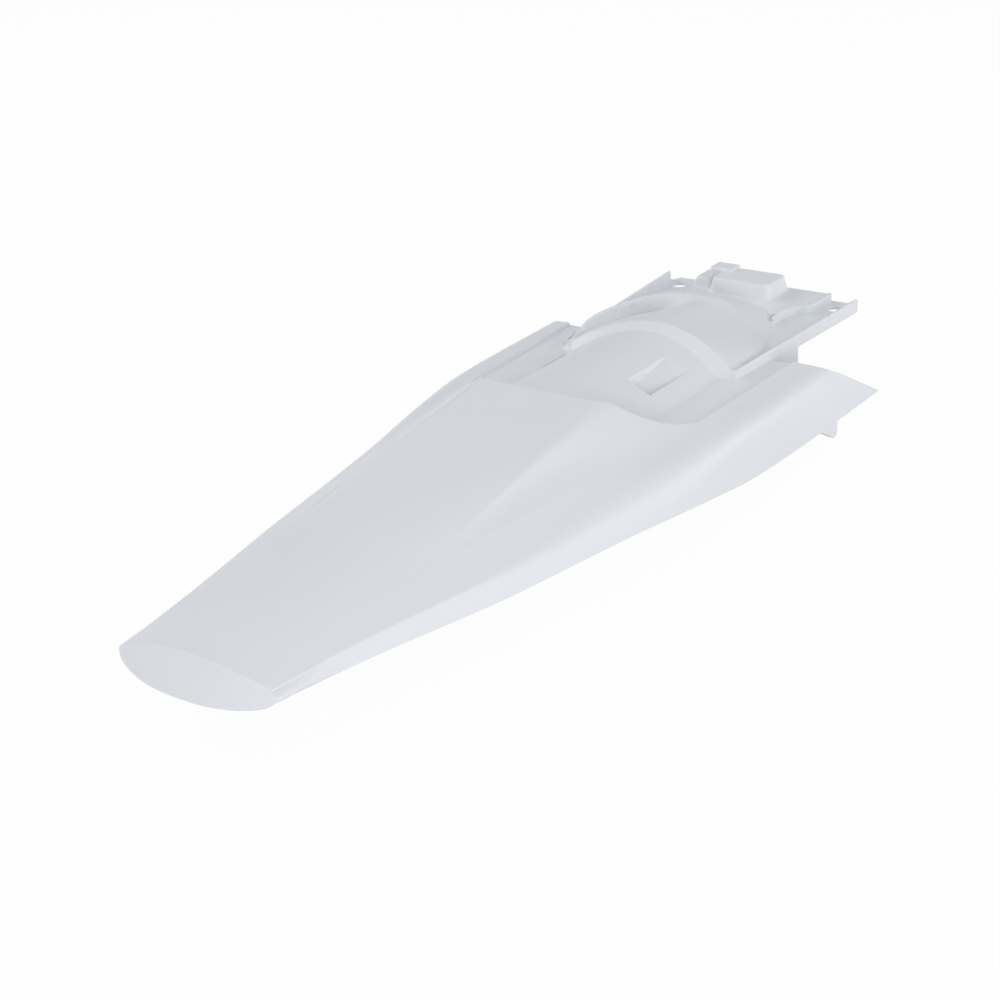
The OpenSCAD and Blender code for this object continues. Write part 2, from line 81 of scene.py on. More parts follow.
def along(keys, x):
    """Smooth curve through keys of (place, value)."""
    place, value = np.array(keys, float).T
    n = len(place)
    i = np.clip(np.searchsorted(place, x, side="right") - 1, 0, n - 2)
    before, after = np.maximum(np.arange(n) - 1, 0), np.minimum(np.arange(n) + 1, n - 1)
    slope = (value[after] - value[before]) / (place[after] - place[before])
    span = place[i + 1] - place[i]
    u = np.clip((x - place[i]) / span, 0, 1)
    d0, d1, rise = slope[i] * span, slope[i + 1] * span, value[i + 1] - value[i]
    return value[i] + u * d0 + u * u * (3 * rise - 2 * d0 - d1) + u ** 3 * (d0 + d1 - 2 * rise)


def soft_min(a, b, k):
    """The lower of two values, with a fillet where they are closer than k."""
    return np.minimum(a, b) - np.maximum(k - np.abs(a - b), 0) ** 2 / (4 * k)


def soft_max(a, b, k):
    return -soft_min(-a, -b, k)


def at_tail(u):
    return mix(tip_x, -seat_back, u)


def at_recess(u):
    return mix(-seat_back, -wing_front, u)


def tail_share(x):
    return share(tip_x, -seat_back, x)


def centre_z(x):
    return mix(-tip_drop, seat_h, tail_share(x) ** 1.28)


def crown_z(x, y):
    return centre_z(x) - tail_crown * (y / crown_at) ** 2


def plateau_z(x, y):
    return mix(crown_z(x, y), centre_z(x), ease(tail_share(v_tip_x), 0.85, tail_share(x)))


edge_y_keys = [(at_tail(0), 0), (at_tail(0.19), 0.18), (at_tail(0.48), 0.51), (at_tail(0.8), 0.79),
    (at_tail(1), 0.957), (at_recess(0.4), 1), (wing_tip_x, 1)]
edge_z_keys = [(at_tail(0), 0), (at_tail(0.19), 0.01), (at_tail(0.48), 0.14), (at_tail(0.8), 0.23),
    (at_tail(1), 0.37), (at_recess(0.4), 0.73), (at_recess(0.86), 0.9), (wing_tip_x, 1)]
crease_y_keys = [(at_tail(0), 2.5), (at_tail(0.3), 6.7), (at_tail(0.55), 8), (at_tail(0.8), 6),
    (at_tail(1), 5), (at_recess(0.6), 1), (wing_tip_x, 0.3)]
crease_z_keys = [(at_tail(0), 1), (at_tail(0.5), 1), (at_tail(0.8), 0.86), (at_tail(1), 0.48),
    (at_recess(0.3), 0.12), (at_recess(0.6), 0.08), (wing_tip_x, 0.08)]


def edge_y(x):
    return mix(tip_w / 2, wing_w / 2, along(edge_y_keys, x))


def edge_z(x):
    return mix(-tip_drop - tip_crown - corner_h, -wing_drop, along(edge_z_keys, x))


def crease_y(x):
    return edge_y(x) - along(crease_y_keys, x)


def crease_z(x):
    drop = -crease_drop * along(crease_z_keys, x)
    return mix(crown_z(x, crease_y(x)), drop, ease(0, 0.45, tail_share(x)))


def ridge_y(x):
    return np.minimum(plateau_w / 2, 0.69 * crease_y(x))


def inner_y(x):
    return mix(wing_gap - wing_taper, wing_gap, share(wing_start_x, -wing_front, x)) / 2


valley_keys = [(v_tip_x, plateau_w / 2 + 2), (wing_start_x - 16, inner_y(wing_start_x) - 2.5),
    (wing_start_x, inner_y(wing_start_x) - 1.5), (-wing_front, wing_gap / 2 - 1.5),
    (wing_tip_x, wing_gap / 2)]


def valley_y(x):
    behind = ridge_y(x) + mix(8, 2, share(tip_x, v_tip_x, x))
    return np.where(x < v_tip_x, behind, along(valley_keys, x))


def valley_z(x):
    low = crown_z(v_tip_x, plateau_w / 2 + 2)
    ahead = mix(low, wing_step, share(v_tip_x, wing_start_x, x) ** 0.6)
    crowned = crown_z(x, valley_y(x))
    return np.where(x < v_tip_x, crowned, np.where(x < -seat_back - 90, np.minimum(ahead, crowned), ahead))


def wall_dip(x):
    return wall_hollow * ease(v_tip_x, v_tip_x + 80, x) * (1 - ease(-seat_back - 80, -seat_back, x))


def top_z(x, y):
    """Height of the skin's upper side, from the middle out to the crease."""
    crown = crown_z(x, y)
    bend = share(ridge_y(x), crease_y(x), y) ** 2
    tail = crown + (crease_z(x) - crown_z(x, crease_y(x))) * bend
    r_y, v_y, c_y = ridge_y(x), valley_y(x), crease_y(x)
    r_z, v_z = plateau_z(x, r_y), valley_z(x)
    steep = (r_z - v_z) / (v_y - r_y)
    shelf_fall = (v_z - crease_z(x)) / (c_y - v_y)
    out = y - v_y
    shelf_in = v_z - out * np.minimum(shelf_fall, 0.8 * steep) - 2 * np.maximum(r_y - y, 0)
    shelf = np.where(out > 0, mix(tail, v_z - out * shelf_fall, ease(v_tip_x, v_tip_x + 50, x)), shelf_in)
    side = np.where(out > 0, v_z - out * np.maximum(steep, 0.5), v_z - out * steep)
    side = side - wall_dip(x) * np.sin(math.pi * share(r_y, v_y, y))
    ridge_k = mix(0.9, 4.5, ease(v_tip_x + 90, -seat_back + 10, x))
    valley_k = mix(0.15, 6, ease(v_tip_x, v_tip_x + 150, x))
    inner = np.where(out > 0, side, soft_min(plateau_z(x, y), side, ridge_k))
    return np.where(x < v_tip_x, tail, soft_max(inner, shelf, valley_k))


seat_straight = 44
seat_corner = np.array([(-seat_back, seat_straight), (-seat_back + 17, wing_gap / 2 - 19),
    (wing_start_x, inner_y(wing_start_x))])
curve_u = np.linspace(0, 1, 41)[:, None]
seat_curve = mix(mix(seat_corner[0], seat_corner[1], curve_u),
    mix(seat_corner[1], seat_corner[2], curve_u), curve_u)
recess_half = np.vstack([seat_curve, [(-wing_front + 6, wing_gap / 2), (400, wing_gap / 2)]])


def recess_y(x):
    return np.interp(x, recess_half[:, 0], recess_half[:, 1], left=0)


def recess_x(y):
    return np.interp(y, seat_curve[:, 1], seat_curve[:, 0])


def skin_point(line, x):
    """Distance from the middle and height of a line of the net: 0 is the middle, 1 the plateau's
    ridge, 2 the foot of its side, 3 and 4 the two sides of the crease and 5 the lower edge."""
    r_y, c_y, c_z, e_y, e_z = ridge_y(x), crease_y(x), crease_z(x), edge_y(x), edge_z(x)
    shelf_y = np.maximum(valley_y(x), recess_y(x))
    k = mix(crease_r, shoulder_r, ease(at_tail(0.35), at_recess(0), x))
    c0_y = c_y - k
    c0_z = top_z(x, c0_y)
    flank = np.hypot(e_y - c_y, e_z - c_z)
    c1_y, c1_z = c_y + k * (e_y - c_y) / flank, c_z + k * (e_z - c_z) / flank
    y = np.where(line <= 1, line * r_y, np.where(line <= 2, mix(r_y, valley_y(x), line - 1),
        mix(shelf_y, c0_y, line - 2)))
    z = top_z(x, y)
    u = np.clip(line - 3, 0, 1)
    bow_y = mix(mix(c0_y, c_y, u), mix(c_y, c1_y, u), u)
    bow_z = mix(mix(c0_z, c_z, u), mix(c_z, c1_z, u), u)
    w = np.clip(line - 4, 0, 1)
    swell = (bulge * np.sin(math.pi * w) - tuck * w ** 2) * (1 - ease(0, 0.17, tail_share(x)))
    y = np.where(line > 4, mix(c1_y, e_y, w) + swell, np.where(line > 3, bow_y, y))
    z = np.where(line > 4, mix(c1_z, e_z, w), np.where(line > 3, bow_z, z))
    return y, z


def face_x(y, v):
    """Station of the end face: v runs from 0 at its upper edge to 1 at the middle of the lower one."""
    return tip_x + tip_bow * (y / (tip_w / 2)) ** 2 - v * face_lean


def face_depth(y, z):
    return (crown_z(tip_x, y) - z) / face_h


def meeting(low, high, ahead):
    """Station between low and high where a line crosses: ahead(x) turns from negative to positive."""
    for _ in range(40):
        middle = (low + high) / 2
        past = ahead(middle) > 0
        low, high = np.where(past, low, middle), np.where(past, middle, high)
    return (low + high) / 2


def past_face(x):
    y, z = skin_point(lines, x)
    return x - face_x(y, face_depth(y, z))


def past_seat(x):
    return x - recess_x(skin_point(lines, x)[0])


def past_slant(x):
    z = skin_point(lines, x)[1]
    return (x + wing_front) * (wing_step + wing_drop) + (z - wing_step) * wing_rake


lines = np.concatenate([1 - (1 - np.linspace(0, 1, 24)) ** 1.5, 1 + ease(0, 1, np.linspace(0, 1, 17))[1:],
    2 + np.linspace(0, 1, 13)[1:], 3 + np.linspace(0, 1, 9)[1:], 4 + np.linspace(0, 1, 10)[1:]])
valley, crease = (int(np.argmin(np.abs(lines - n))) for n in (2, 3))
# Lines end behind at the end face, and in front at the seat recess or at the wing's slanted cut
start_x = meeting(np.full(len(lines), tip_x - 30.0), np.full(len(lines), tip_x + 40.0), past_face)
end_x = meeting(np.full(len(lines), -seat_back - 10.0), np.full(len(lines), wing_start_x + 10.0), past_seat)
end_x[valley:] = end_x[valley]
slant_x = meeting(np.full(len(lines), -wing_front - 15.0), np.full(len(lines), wing_tip_x + 5.0),
    past_slant)
# Between these two stations the rows run straight across
row_a, row_b = tip_x + 42, -seat_back - 38
stations = [mix(start_x, row_a, u) for u in np.linspace(0, 1, 18) ** 1.3]
stations += [np.full(len(lines), x) for x in np.linspace(row_a, v_tip_x, 30)[1:]]
stations += [np.full(len(lines), x) for x in np.linspace(v_tip_x, row_b, 64)[1:]]
stations += [mix(row_b, end_x, u) for u in np.linspace(0, 1, 22)[1:]]
wing_stations = [mix(end_x[valley], slant_x[valley:], u) for u in np.linspace(0, 1, 70)]

skin = bmesh.new()
MM = 0.001


def add_net(target, grid):
    """Adds a net of points, rows by columns, as four-sided faces."""
    spots = [[target.verts.new(p * MM) for p in row] for row in grid]
    for a, b in zip(spots, spots[1:]):
        for i in range(len(a) - 1):
            target.faces.new((a[i], a[i + 1], b[i + 1], b[i]))


for side in (-1, 1):
    rows = []
    for x in stations:
        y, z = skin_point(lines, x)
        rows.append(np.stack([x, side * y, z], 1))
    add_net(skin, rows)
    rows = []
    for x in wing_stations:
        y, z = skin_point(lines[valley:], x)
        rows.append(np.stack([x, side * y, z], 1))
    add_net(skin, rows)
    # The end face hangs from the ends of the lines, and its side follows the flank's end
    y, z = skin_point(lines, start_x)
    rim_y, rim_z = y[crease:], z[crease:]
    y, z = y[:crease + 1], z[:crease + 1]
    rows = []
    for end_y, end_z in zip(rim_y, rim_z):
        at_y = y + (y / y[-1]) ** 3 * (end_y - rim_y[0])
        low_z = mix(-tip_drop - face_h, rim_z[-1], (y / y[-1]) ** 3.5)
        at_z = mix(z, low_z, (end_z - rim_z[0]) / (rim_z[-1] - rim_z[0]))
        rows.append(np.stack([face_x(at_y, face_depth(at_y, at_z)), side * at_y, at_z], 1))
    add_net(skin, rows)

# The two halves and the end face are joined into one net that faces up
bmesh.ops.remove_doubles(skin, verts=skin.verts, dist=0.03 * MM)
bmesh.ops.recalc_face_normals(skin, faces=skin.faces)
if sum(f.normal.z * f.calc_area() for f in skin.faces) < 0:
    bmesh.ops.reverse_faces(skin, faces=skin.faces)


def with_modifiers(name, shape, *steps):
    """Makes an object from a mesh in the making and gives it modifiers of (kind, settings)."""
    mesh = bpy.data.meshes.new(name)
    shape.to_mesh(mesh)
    shape.free()
    made = bpy.data.objects.new(name, mesh)
    bpy.context.collection.objects.link(made)
    for kind, settings in steps:
        step = made.modifiers.new(kind.lower(), kind)
        for key, value in settings.items():
            setattr(step, key, value)
    mesh.shade_smooth()
    return made


edge_round = {"width": 0.6 * MM, "segments": 2, "limit_method": "ANGLE", "angle_limit": math.radians(42)}
even_faces = {"mode": "FACE_AREA", "weight": 50, "keep_sharp": False}
skin_piece = with_modifiers("skin", skin,
    ("SOLIDIFY", {"thickness": wall * MM, "offset": -1}), ("BEVEL", edge_round),
    ("WEIGHTED_NORMAL", even_faces))

# Tabs: a wedge of the same plastic hangs from the front of each wing's lower edge, deepest in front
# and round at its lower corner. Each is an outline drawn out across the fender, with rounded edges.
tab_l, tab_h, tab_front, tab_r, tab_t = 38, 11.5, 111, 5, 5
tab_root = -wing_drop + 8
arc = np.radians(np.linspace(0, -107, 9))
tab_outline = [(-tab_front - tab_l, tab_root), (-tab_front, tab_root)]
tab_outline += [(-tab_front - tab_r + tab_r * math.cos(a), -wing_drop - tab_h + tab_r + tab_r * math.sin(a))
    for a in arc]
tab_outline += [(-tab_front - 0.72 * tab_l, -wing_drop + 0.5)]
tabs = bmesh.new()
for side in (-1, 1):
    outer = wing_w / 2 - 0.3
    rim = [tabs.verts.new((x * MM, side * outer * MM, z * MM)) for x, z in tab_outline]
    cap = tabs.faces.new(rim)
    drawn = bmesh.ops.extrude_face_region(tabs, geom=[cap])
    moved = [v for v in drawn["geom"] if isinstance(v, bmesh.types.BMVert)]
    bmesh.ops.translate(tabs, verts=moved, vec=(0, -side * tab_t * MM, 0))
bmesh.ops.recalc_face_normals(tabs, faces=tabs.faces)
tab_piece = with_modifiers("tabs", tabs, ("BEVEL", edge_round), ("WEIGHTED_NORMAL", even_faces))

# Deck, arch, dome, mounting plate and boss: everything between the wings, in the same moulding.
# Each form is a field of distances from its surface. The fields are joined with small fillets, as
# in a mould, and the surface is drawn out of the sum as a fine net.
plate_t, arch_h, arch_foot = 3, 23, 65
ring_back, ring_rise, ring_l, ring_curve, ring_sweep = 172, 4.7, 12, 0.0045, 0.0028
dome_half_w, dome_front, dome_h, side_h, dome_spread = 70, 88, 21.5, 6, 33.5
crease_square, crest_square, foot_square = 3.1, 2.25, 2.2
rim_front, rim_h, slope_front, platform_h = 73, 22.5, 27, 5.5
arch_curve = arch_h / arch_foot ** 2


def arch_z(y):
    return arch_h - arch_curve * y * y


def round_plan(t, reach, half, n):
    """Outline from one end of the ring to the other: t runs from -1 to 1, and a higher n is squarer."""
    c, s = np.maximum(0, np.cos(math.pi / 2 * t)), np.sin(math.pi / 2 * t)
    r = (c ** n + np.abs(s) ** n) ** (-1 / n)
    return -ring_back + reach * r * c, half * r * s


def crease_ring(t):
    x, y = round_plan(t, ring_back - dome_front, dome_half_w + 0.5, crease_square)
    z = side_h + (dome_h - side_h) * np.exp(-(y / dome_spread) ** 2) - ease(0.85, 1, abs(t))
    return np.stack([x, y, z])


def foot_ring(t):
    x, y = round_plan(t, ring_back - slope_front, dome_half_w + 5, foot_square)
    z = mix(platform_h - 0.7, -0.5, ease(0.3, 0.5, abs(t))) + (side_h - 1.5) * ease(0.75, 1, abs(t))
    return np.stack([x, y, z])


left_crest = [(0, 1), (0.21, 1), (0.37, 0.95), (0.49, 0.9), (0.65, 0.8), (0.75, 0.77), (0.83, 0.7),
    (0.93, 0.45), (1, 0.22)]


def crest_ring(t):
    x, y = round_plan(t, ring_back - rim_front, dome_half_w + 4, crest_square)
    right = mix(crease_ring(t)[2], foot_ring(t)[2], 0.4 * ease(0, 0.55, -t))
    right = right + (rim_h - dome_h) * (1 - ease(0, 0.35, -t))
    return np.stack([x, y, np.where(t > 0, rim_h * along(left_crest, np.abs(t)), right)])


def between(a, b, plan, rise):
    return np.stack([mix(a[0], b[0], plan), mix(a[1], b[1], plan), mix(a[2], b[2], rise)])


t = np.linspace(-1, 1, 281)
foot_y, ring_y = t * (arch_foot + 0.5), t * dome_half_w
ring_foot = np.stack([-ring_back - ring_sweep * foot_y ** 2, foot_y, arch_z(foot_y)])
ring_top = np.stack([-ring_back + ring_l - ring_sweep * ring_y ** 2, ring_y,
    arch_h + ring_rise - ring_curve * ring_y ** 2])
rib_like = ease(0.2, 0.4, t)
rows = [np.stack([mix(-seat_back - 8, -ring_back, u) - ring_sweep * foot_y ** 2 * u, foot_y,
    arch_z(foot_y)]) for u in np.linspace(0, 1, 24)]
rows += [mix(ring_foot, ring_top, u) for u in (0.5, 1)]
rows += [mix(ring_top, crease_ring(t), u) for u in np.linspace(0, 1, 22)[1:]]
rows += [between(crease_ring(t), crest_ring(t), u, math.sin(math.pi / 2 * u))
    for u in np.linspace(0, 1, 14)[1:]]
rows += [between(crest_ring(t), foot_ring(t), u, mix(u ** 1.15, 1 - math.sqrt(1 - u * u), rib_like))
    for u in np.linspace(0, 1, 26)[1:]]
rows += [foot_ring(t) + np.array([[3], [0], [-14]])]
rows = np.array(rows).transpose(0, 2, 1)
# Rows reach out past the flanges, and then drop as an apron
widening = np.where(rows[:, :1, 0] > -ring_back - ring_sweep * arch_foot ** 2 + 2, 7, 0.5)[:, :, None]
beside = [rows[:, :1] + widening * (0, -1, -0.03), rows[:, -1:] + widening * (0, 1, -0.03)]
apron = [beside[0] + (-1, -1, -14), beside[1] + (-1, 1, -14)]
rows = np.concatenate([apron[0], beside[0], rows, beside[1], apron[1]], 1)
count = rows.shape[1]
corners = [(i * count + j, i * count + j + 1, (i + 1) * count + j + 1, (i + 1) * count + j)
    for i in range(len(rows) - 1) for j in range(count - 1)]
dome_tree = BVHTree.FromPolygons([Vector(p) for p in rows.reshape(-1, 3)], corners)

cell = 0.9
grid_low = np.array([-327.0, -106.0, -27.0])
xs = np.arange(grid_low[0], 22, cell)
ys = np.arange(grid_low[1], 106.5, cell)
zs = np.arange(grid_low[2], 31, cell).astype(np.float32)
gx, gy = np.meshgrid(xs, ys, indexing="ij")
down = Vector((0, 0, -1))
dome_z = np.full(gx.shape, -12.0)
for i, x in enumerate(xs):
    for j, y in enumerate(ys):
        hit = dome_tree.ray_cast(Vector((x, y, 60)), down)[0]
        if hit is not None:
            dome_z[i, j] = hit.z
for _ in range(2):
    padded = np.pad(dome_z, 1, mode="edge")
    dome_z = (padded[:-2, 1:-1] + padded[2:, 1:-1] + padded[1:-1, :-2] + padded[1:-1, 2:]
        + 4 * padded[1:-1, 1:-1]) / 8


# The dome's right side flows into the plate with no crease
spread = 6
softer = np.pad(dome_z, spread, mode="edge")
for axis in (0, 1):
    softer = sum(np.roll(softer, n, axis) for n in range(-spread, spread + 1)) / (2 * spread + 1)
softer = softer[spread:-spread, spread:-spread]
flowing = ease(-8, -30, gy) * ease(-162, -140, gx) * ease(-14, -34, gx)
flowing = flowing * (1 - ease(0, 5, softer - dome_z - 3))
dome_z = mix(dome_z, softer, flowing)


def solid(plan):
    """Spreads a field in plan over the heights of the grid."""
    return plan[:, :, None].astype(np.float32)


def outline_distance(points, x, y):
    """Distance in plan from a closed outline, negative inside."""
    best, inside = np.full(x.shape, 1e9), np.zeros(x.shape, bool)
    for (ax, ay), (bx, by) in zip(points, np.roll(points, -1, axis=0)):
        ex, ey = bx - ax, by - ay
        u = np.clip(((x - ax) * ex + (y - ay) * ey) / (ex * ex + ey * ey), 0, 1)
        best = np.minimum(best, np.hypot(x - ax - u * ex, y - ay - u * ey))
        if ey:
            inside ^= ((ay > y) != (by > y)) & (x < ex * (y - ay) / ey + ax)
    return np.where(inside, -best, best)


def both_halves(half):
    half = np.array(half, float)
    return np.vstack([half, half[::-1] * (1, -1)])


def drawn_up(plan, low, high, k=0.8):
    """Solid over an outline in plan, from a low to a high level, with rounded edges."""
    return soft_max(solid(plan), np.abs(zs - (low + high) / 2) - (high - low) / 2, k)


slope = np.gradient(dome_z, cell)
steepness = solid(np.sqrt(1 + np.minimum(slope[0] ** 2 + slope[1] ** 2, 80)))
over_dome = (zs - solid(dome_z)) / steepness
# Where the surface stands steep the wall is up to twice as thick, so that no hole opens in the net
shell = np.maximum(over_dome, -over_dome - wall * (1 + solid(ease(1.5, 4, np.hypot(*slope)))))

# The sunk pocket in the arch's right side
pocket_l, pocket_w, pocket_y, pocket_front, pocket_depth, pocket_lift = 62, 19, 40, 193, 8, 0.4
pocket_slope = share(-pocket_front, -pocket_front - pocket_l, gx)
pocket_floor = arch_z(gy) + pocket_lift - (pocket_depth + pocket_lift) * pocket_slope
pocket_plan = np.maximum(np.abs(gx + pocket_front + pocket_l / 2) - pocket_l / 2,
    np.abs(gy + pocket_y) - pocket_w / 2)
tray = soft_max(np.maximum(solid(pocket_plan) - wall, solid(pocket_floor) - wall - zs), over_dome, 0.6)
shell = np.minimum(shell, tray)
shell = soft_max(shell, -soft_max(solid(pocket_plan), solid(pocket_floor) - zs, 0.8), 0.6)
shell = np.maximum(shell, -plate_t - zs)

# Plate and deck, open under the arch and the dome
flange_back_w, flange_front_w, flange_back, flange_front, plate_front = 156, 178, 178, 8, 18
rib_t, flange_h, flange_fall, web_h, web_l = 2.8, 8, 1.5, 21, 42


def flange_y(x):
    return mix(flange_back_w, flange_front_w, share(-flange_back, flange_front, x)) / 2


ears = both_halves([(-flange_back, flange_y(-flange_back) - rib_t / 2),
    (flange_front, flange_y(flange_front) - rib_t / 2), (plate_front, flange_y(flange_front) - 7)])
recess = outline_distance(both_halves(recess_half), gx, gy)
deck = np.maximum(recess - wall / 2, gx + wing_front + 1)
hollow_t = np.arange(0.95, -0.01, -0.05)
hollow_front = np.stack(round_plan(hollow_t, ring_back - rim_front + 8, dome_half_w + 1, crest_square), 1)
hollow = both_halves(np.vstack([[(-seat_back + wall / 2, seat_straight - 2),
    (-seat_back + 16, arch_foot - wall), (-ring_back, arch_foot - wall)], hollow_front]))
plan = np.maximum(np.minimum(outline_distance(ears, gx, gy), deck), -outline_distance(hollow, gx, gy))
body = drawn_up(plan, -plate_t, 0)
body = soft_min(body, shell, 1.6)

# Slit between the arch's left foot and the deck
slit_x, slit_l, slit_w = -207, 34, 1.8
slit = np.maximum(np.abs(gx - slit_x) - slit_l / 2, np.abs(gy - arch_foot - 0.75) - slit_w / 2)
body = np.maximum(body, -drawn_up(slit, -plate_t - 2, 2.5, 0.3))

# Wall under the plateau's edge
seat_top = top_z(gx, np.minimum(np.abs(gy), crease_y(gx)))
seat_wall = np.maximum(np.abs(recess - wall / 2) - wall / 2 + 0.05, gx - wing_start_x - 4)
seat_wall = np.maximum(solid(seat_wall), np.maximum(zs - solid(seat_top) + 0.6, -1.5 - zs))
body = soft_min(body, seat_wall, 0.8)

# Upright flanges along the plate's sides, with a web under each
splay = math.atan2(flange_front_w - flange_back_w, 2 * (flange_front + flange_back))
across = (np.abs(gy) - flange_y(gx) + rib_t / 2) * math.cos(splay)
across = np.abs(across) - rib_t / 2
middle_x = (flange_front - flange_back) / 2
flange_plan = np.maximum(across, np.abs(gx - middle_x) - (flange_front + flange_back) / 2)
flange_top = mix(flange_h - flange_fall, flange_h, share(-flange_back, flange_front, gx))
flange = soft_max(solid(flange_plan), zs - solid(flange_top), 0.9)
flange = soft_max(flange, -plate_t - 0.5 - zs, 0.5)
web_plan = np.maximum(across, np.abs(gx + wing_front - web_l / 2) - web_l / 2)
web = drawn_up(web_plan, -plate_t - web_h - 0.5, -1)
body = soft_min(body, soft_min(flange, web, 0.6), 0.9)

# Platform in front of the rim, with its lip
rim_t = np.arange(-0.36, 0.361, 0.04)
rim_foot = np.stack(round_plan(rim_t, ring_back - slope_front - 4, dome_half_w + 3, foot_square), 1)
platform = np.vstack([rim_foot, [(-22, 54), (plate_front, 56), (plate_front, -60), (-2, -60), (-22, -54)]])
body = soft_min(body, drawn_up(outline_distance(platform, gx, gy), -0.5, platform_h), 1.0)


def bow(p, q, r, n):
    u = np.linspace(0, 1, n)[:, None]
    p, q, r = (np.array(v, float) for v in (p, q, r))
    return mix(mix(p, q, u), mix(q, r, u), u)


lip_h = 6.5
lip_line = np.vstack([[(-57, -46), (-43, -44.5)], bow((-28, -45), (-23, -46), (-23, -52), 8),
    bow((-22, -56), (-16, -60), (-2, -60), 8), [(plate_front - rib_t / 2, -60)]])
lip = np.full(gx.shape, 1e9)
for (ax, ay), (bx, by) in zip(lip_line, lip_line[1:]):
    ex, ey = bx - ax, by - ay
    u = np.clip(((gx - ax) * ex + (gy - ay) * ey) / (ex * ex + ey * ey), 0, 1)
    lip = np.minimum(lip, np.hypot(gx - ax - u * ex, gy - ay - u * ey))
body = soft_min(body, drawn_up(lip - rib_t / 2, -0.5, lip_h, 0.7), 0.8)

# Boss in front, with its stepped foot and the small blocks on its left


def drafted_block(x, y, size, draft, r):
    """Block with rounded corners whose sides lean in towards its top."""
    rise = np.clip(zs / size[2], 0, 1) * draft
    along_x = np.abs(solid(gx - x)) - (size[0] / 2 - r) + rise
    along_y = np.abs(solid(gy - y)) - (size[1] / 2 - r) + rise
    outside = np.hypot(np.maximum(along_x, 0), np.maximum(along_y, 0))
    side = outside + np.minimum(np.maximum(along_x, along_y), 0) - r
    return soft_max(side, np.abs(zs - size[2] / 2) - size[2] / 2, 1.6)


boss_front = plate_front - 1
boss = drafted_block(boss_front - 20, 5, (40, 60, 18), 3.5, 6)
boss = soft_min(boss, drafted_block(boss_front - 9, 33, (18, 23, 20), 1, 2), 1.0)
boss = soft_min(boss, drafted_block(boss_front - 15.5, 45, (31, 20, 13.5), 4, 2), 1.0)
body = soft_min(body, boss, 1.8)

# Holes for the two front bolts
bolt_gap, bolt_d = 147, 12.5
bolts = np.hypot(gx, np.abs(gy) - bolt_gap / 2) - bolt_d / 2
body = soft_max(body, -drawn_up(bolts, -plate_t - 3, 3, 0.1), 0.8)


def surface_net(field):
    """Points and four-sided faces of the surface where a field crosses zero."""
    shape = np.array(field.shape)
    inside = field < 0
    cells, spots, quads = [], [], []
    for a in range(3):
        b, c = (a + 1) % 3, (a + 2) % 3
        first = [slice(None)] * 3
        second = [slice(None)] * 3
        first[a], second[a] = slice(0, -1), slice(1, None)
        first, second = tuple(first), tuple(second)
        spot = np.argwhere(inside[first] != inside[second])
        spot = spot[(spot[:, b] > 0) & (spot[:, c] > 0)]
        spot = spot[(spot[:, b] < shape[b] - 1) & (spot[:, c] < shape[c] - 1)]
        step = np.eye(3, dtype=int)
        near, beyond = field[tuple(spot.T)], field[tuple((spot + step[a]).T)]
        crossing = spot.astype(float)
        crossing[:, a] += near / (near - beyond)
        around = [spot, spot - step[b], spot - step[b] - step[c], spot - step[c]]
        keys = np.stack([np.ravel_multi_index(tuple(k.T), tuple(shape)) for k in around], 1)
        cells.append(keys.ravel())
        spots.append(np.repeat(crossing, 4, axis=0))
        quads.append(np.where((near < 0)[:, None], keys, keys[:, ::-1]))
    cells, spots, quads = np.concatenate(cells), np.concatenate(spots), np.concatenate(quads)
    used, index = np.unique(cells, return_inverse=True)
    amount = np.bincount(index)
    points = np.stack([np.bincount(index, spots[:, i]) / amount for i in range(3)], 1)
    return points * cell + grid_low, np.searchsorted(used, quads)


net_points, net_quads = surface_net(body)
deck_mesh = bpy.data.meshes.new("deck")
deck_mesh.from_pydata((net_points * MM).tolist(), [], net_quads.tolist())
deck_piece = bpy.data.objects.new("deck", deck_mesh)
bpy.context.collection.objects.link(deck_piece)
triangle_goal = 78000
thin = deck_piece.modifiers.new("thin", "DECIMATE")
thin.ratio = min(1, triangle_goal / (2 * len(net_quads)))
field_slope = np.stack(np.gradient(body, cell), -1)


def field_normals(points):
    """Directions out of the surface, read between the nodes of the grid."""
    place = (points - grid_low) / cell
    base = np.clip(np.floor(place).astype(int), 0, np.array(body.shape) - 2)
    part = place - base
    out = np.zeros(points.shape)
    for corner in np.ndindex(2, 2, 2):
        weight = np.prod(np.where(corner, part, 1 - part), axis=1)
        out += weight[:, None] * field_slope[tuple((base + corner).T)]
    return out / np.maximum(np.linalg.norm(out, axis=1, keepdims=True), 1e-9)


# The fender is one moulding, so its three meshes become one piece. The normals are kept: they give
# the deck's fillets and the skin's even faces their smooth shading.


def finished(piece):
    """Points, faces and corner normals of a piece, modifiers included."""
    whole = bpy.data.meshes.new_from_object(piece.evaluated_get(bpy.context.evaluated_depsgraph_get()))
    points = np.empty(3 * len(whole.vertices))
    whole.vertices.foreach_get("co", points)
    corner = np.empty(3 * len(whole.loops))
    whole.corner_normals.foreach_get("vector", corner)
    faces = [tuple(f.vertices) for f in whole.polygons]
    bpy.data.meshes.remove(whole)
    return points.reshape(-1, 3), faces, corner.reshape(-1, 3)


points, faces, normals = [], [], []
for piece in (skin_piece, tab_piece, deck_piece):
    own_points, own_faces, own_normals = finished(piece)
    if piece is deck_piece:
        at_points = field_normals(own_points / MM)
        own_normals = at_points[np.concatenate([np.array(f) for f in own_faces])]
    shift = sum(len(p) for p in points)
    points.append(own_points)
    faces += [tuple(i + shift for i in f) for f in own_faces]
    normals.append(own_normals)
    bpy.data.objects.remove(piece)
fender_mesh = bpy.data.meshes.new("fender")
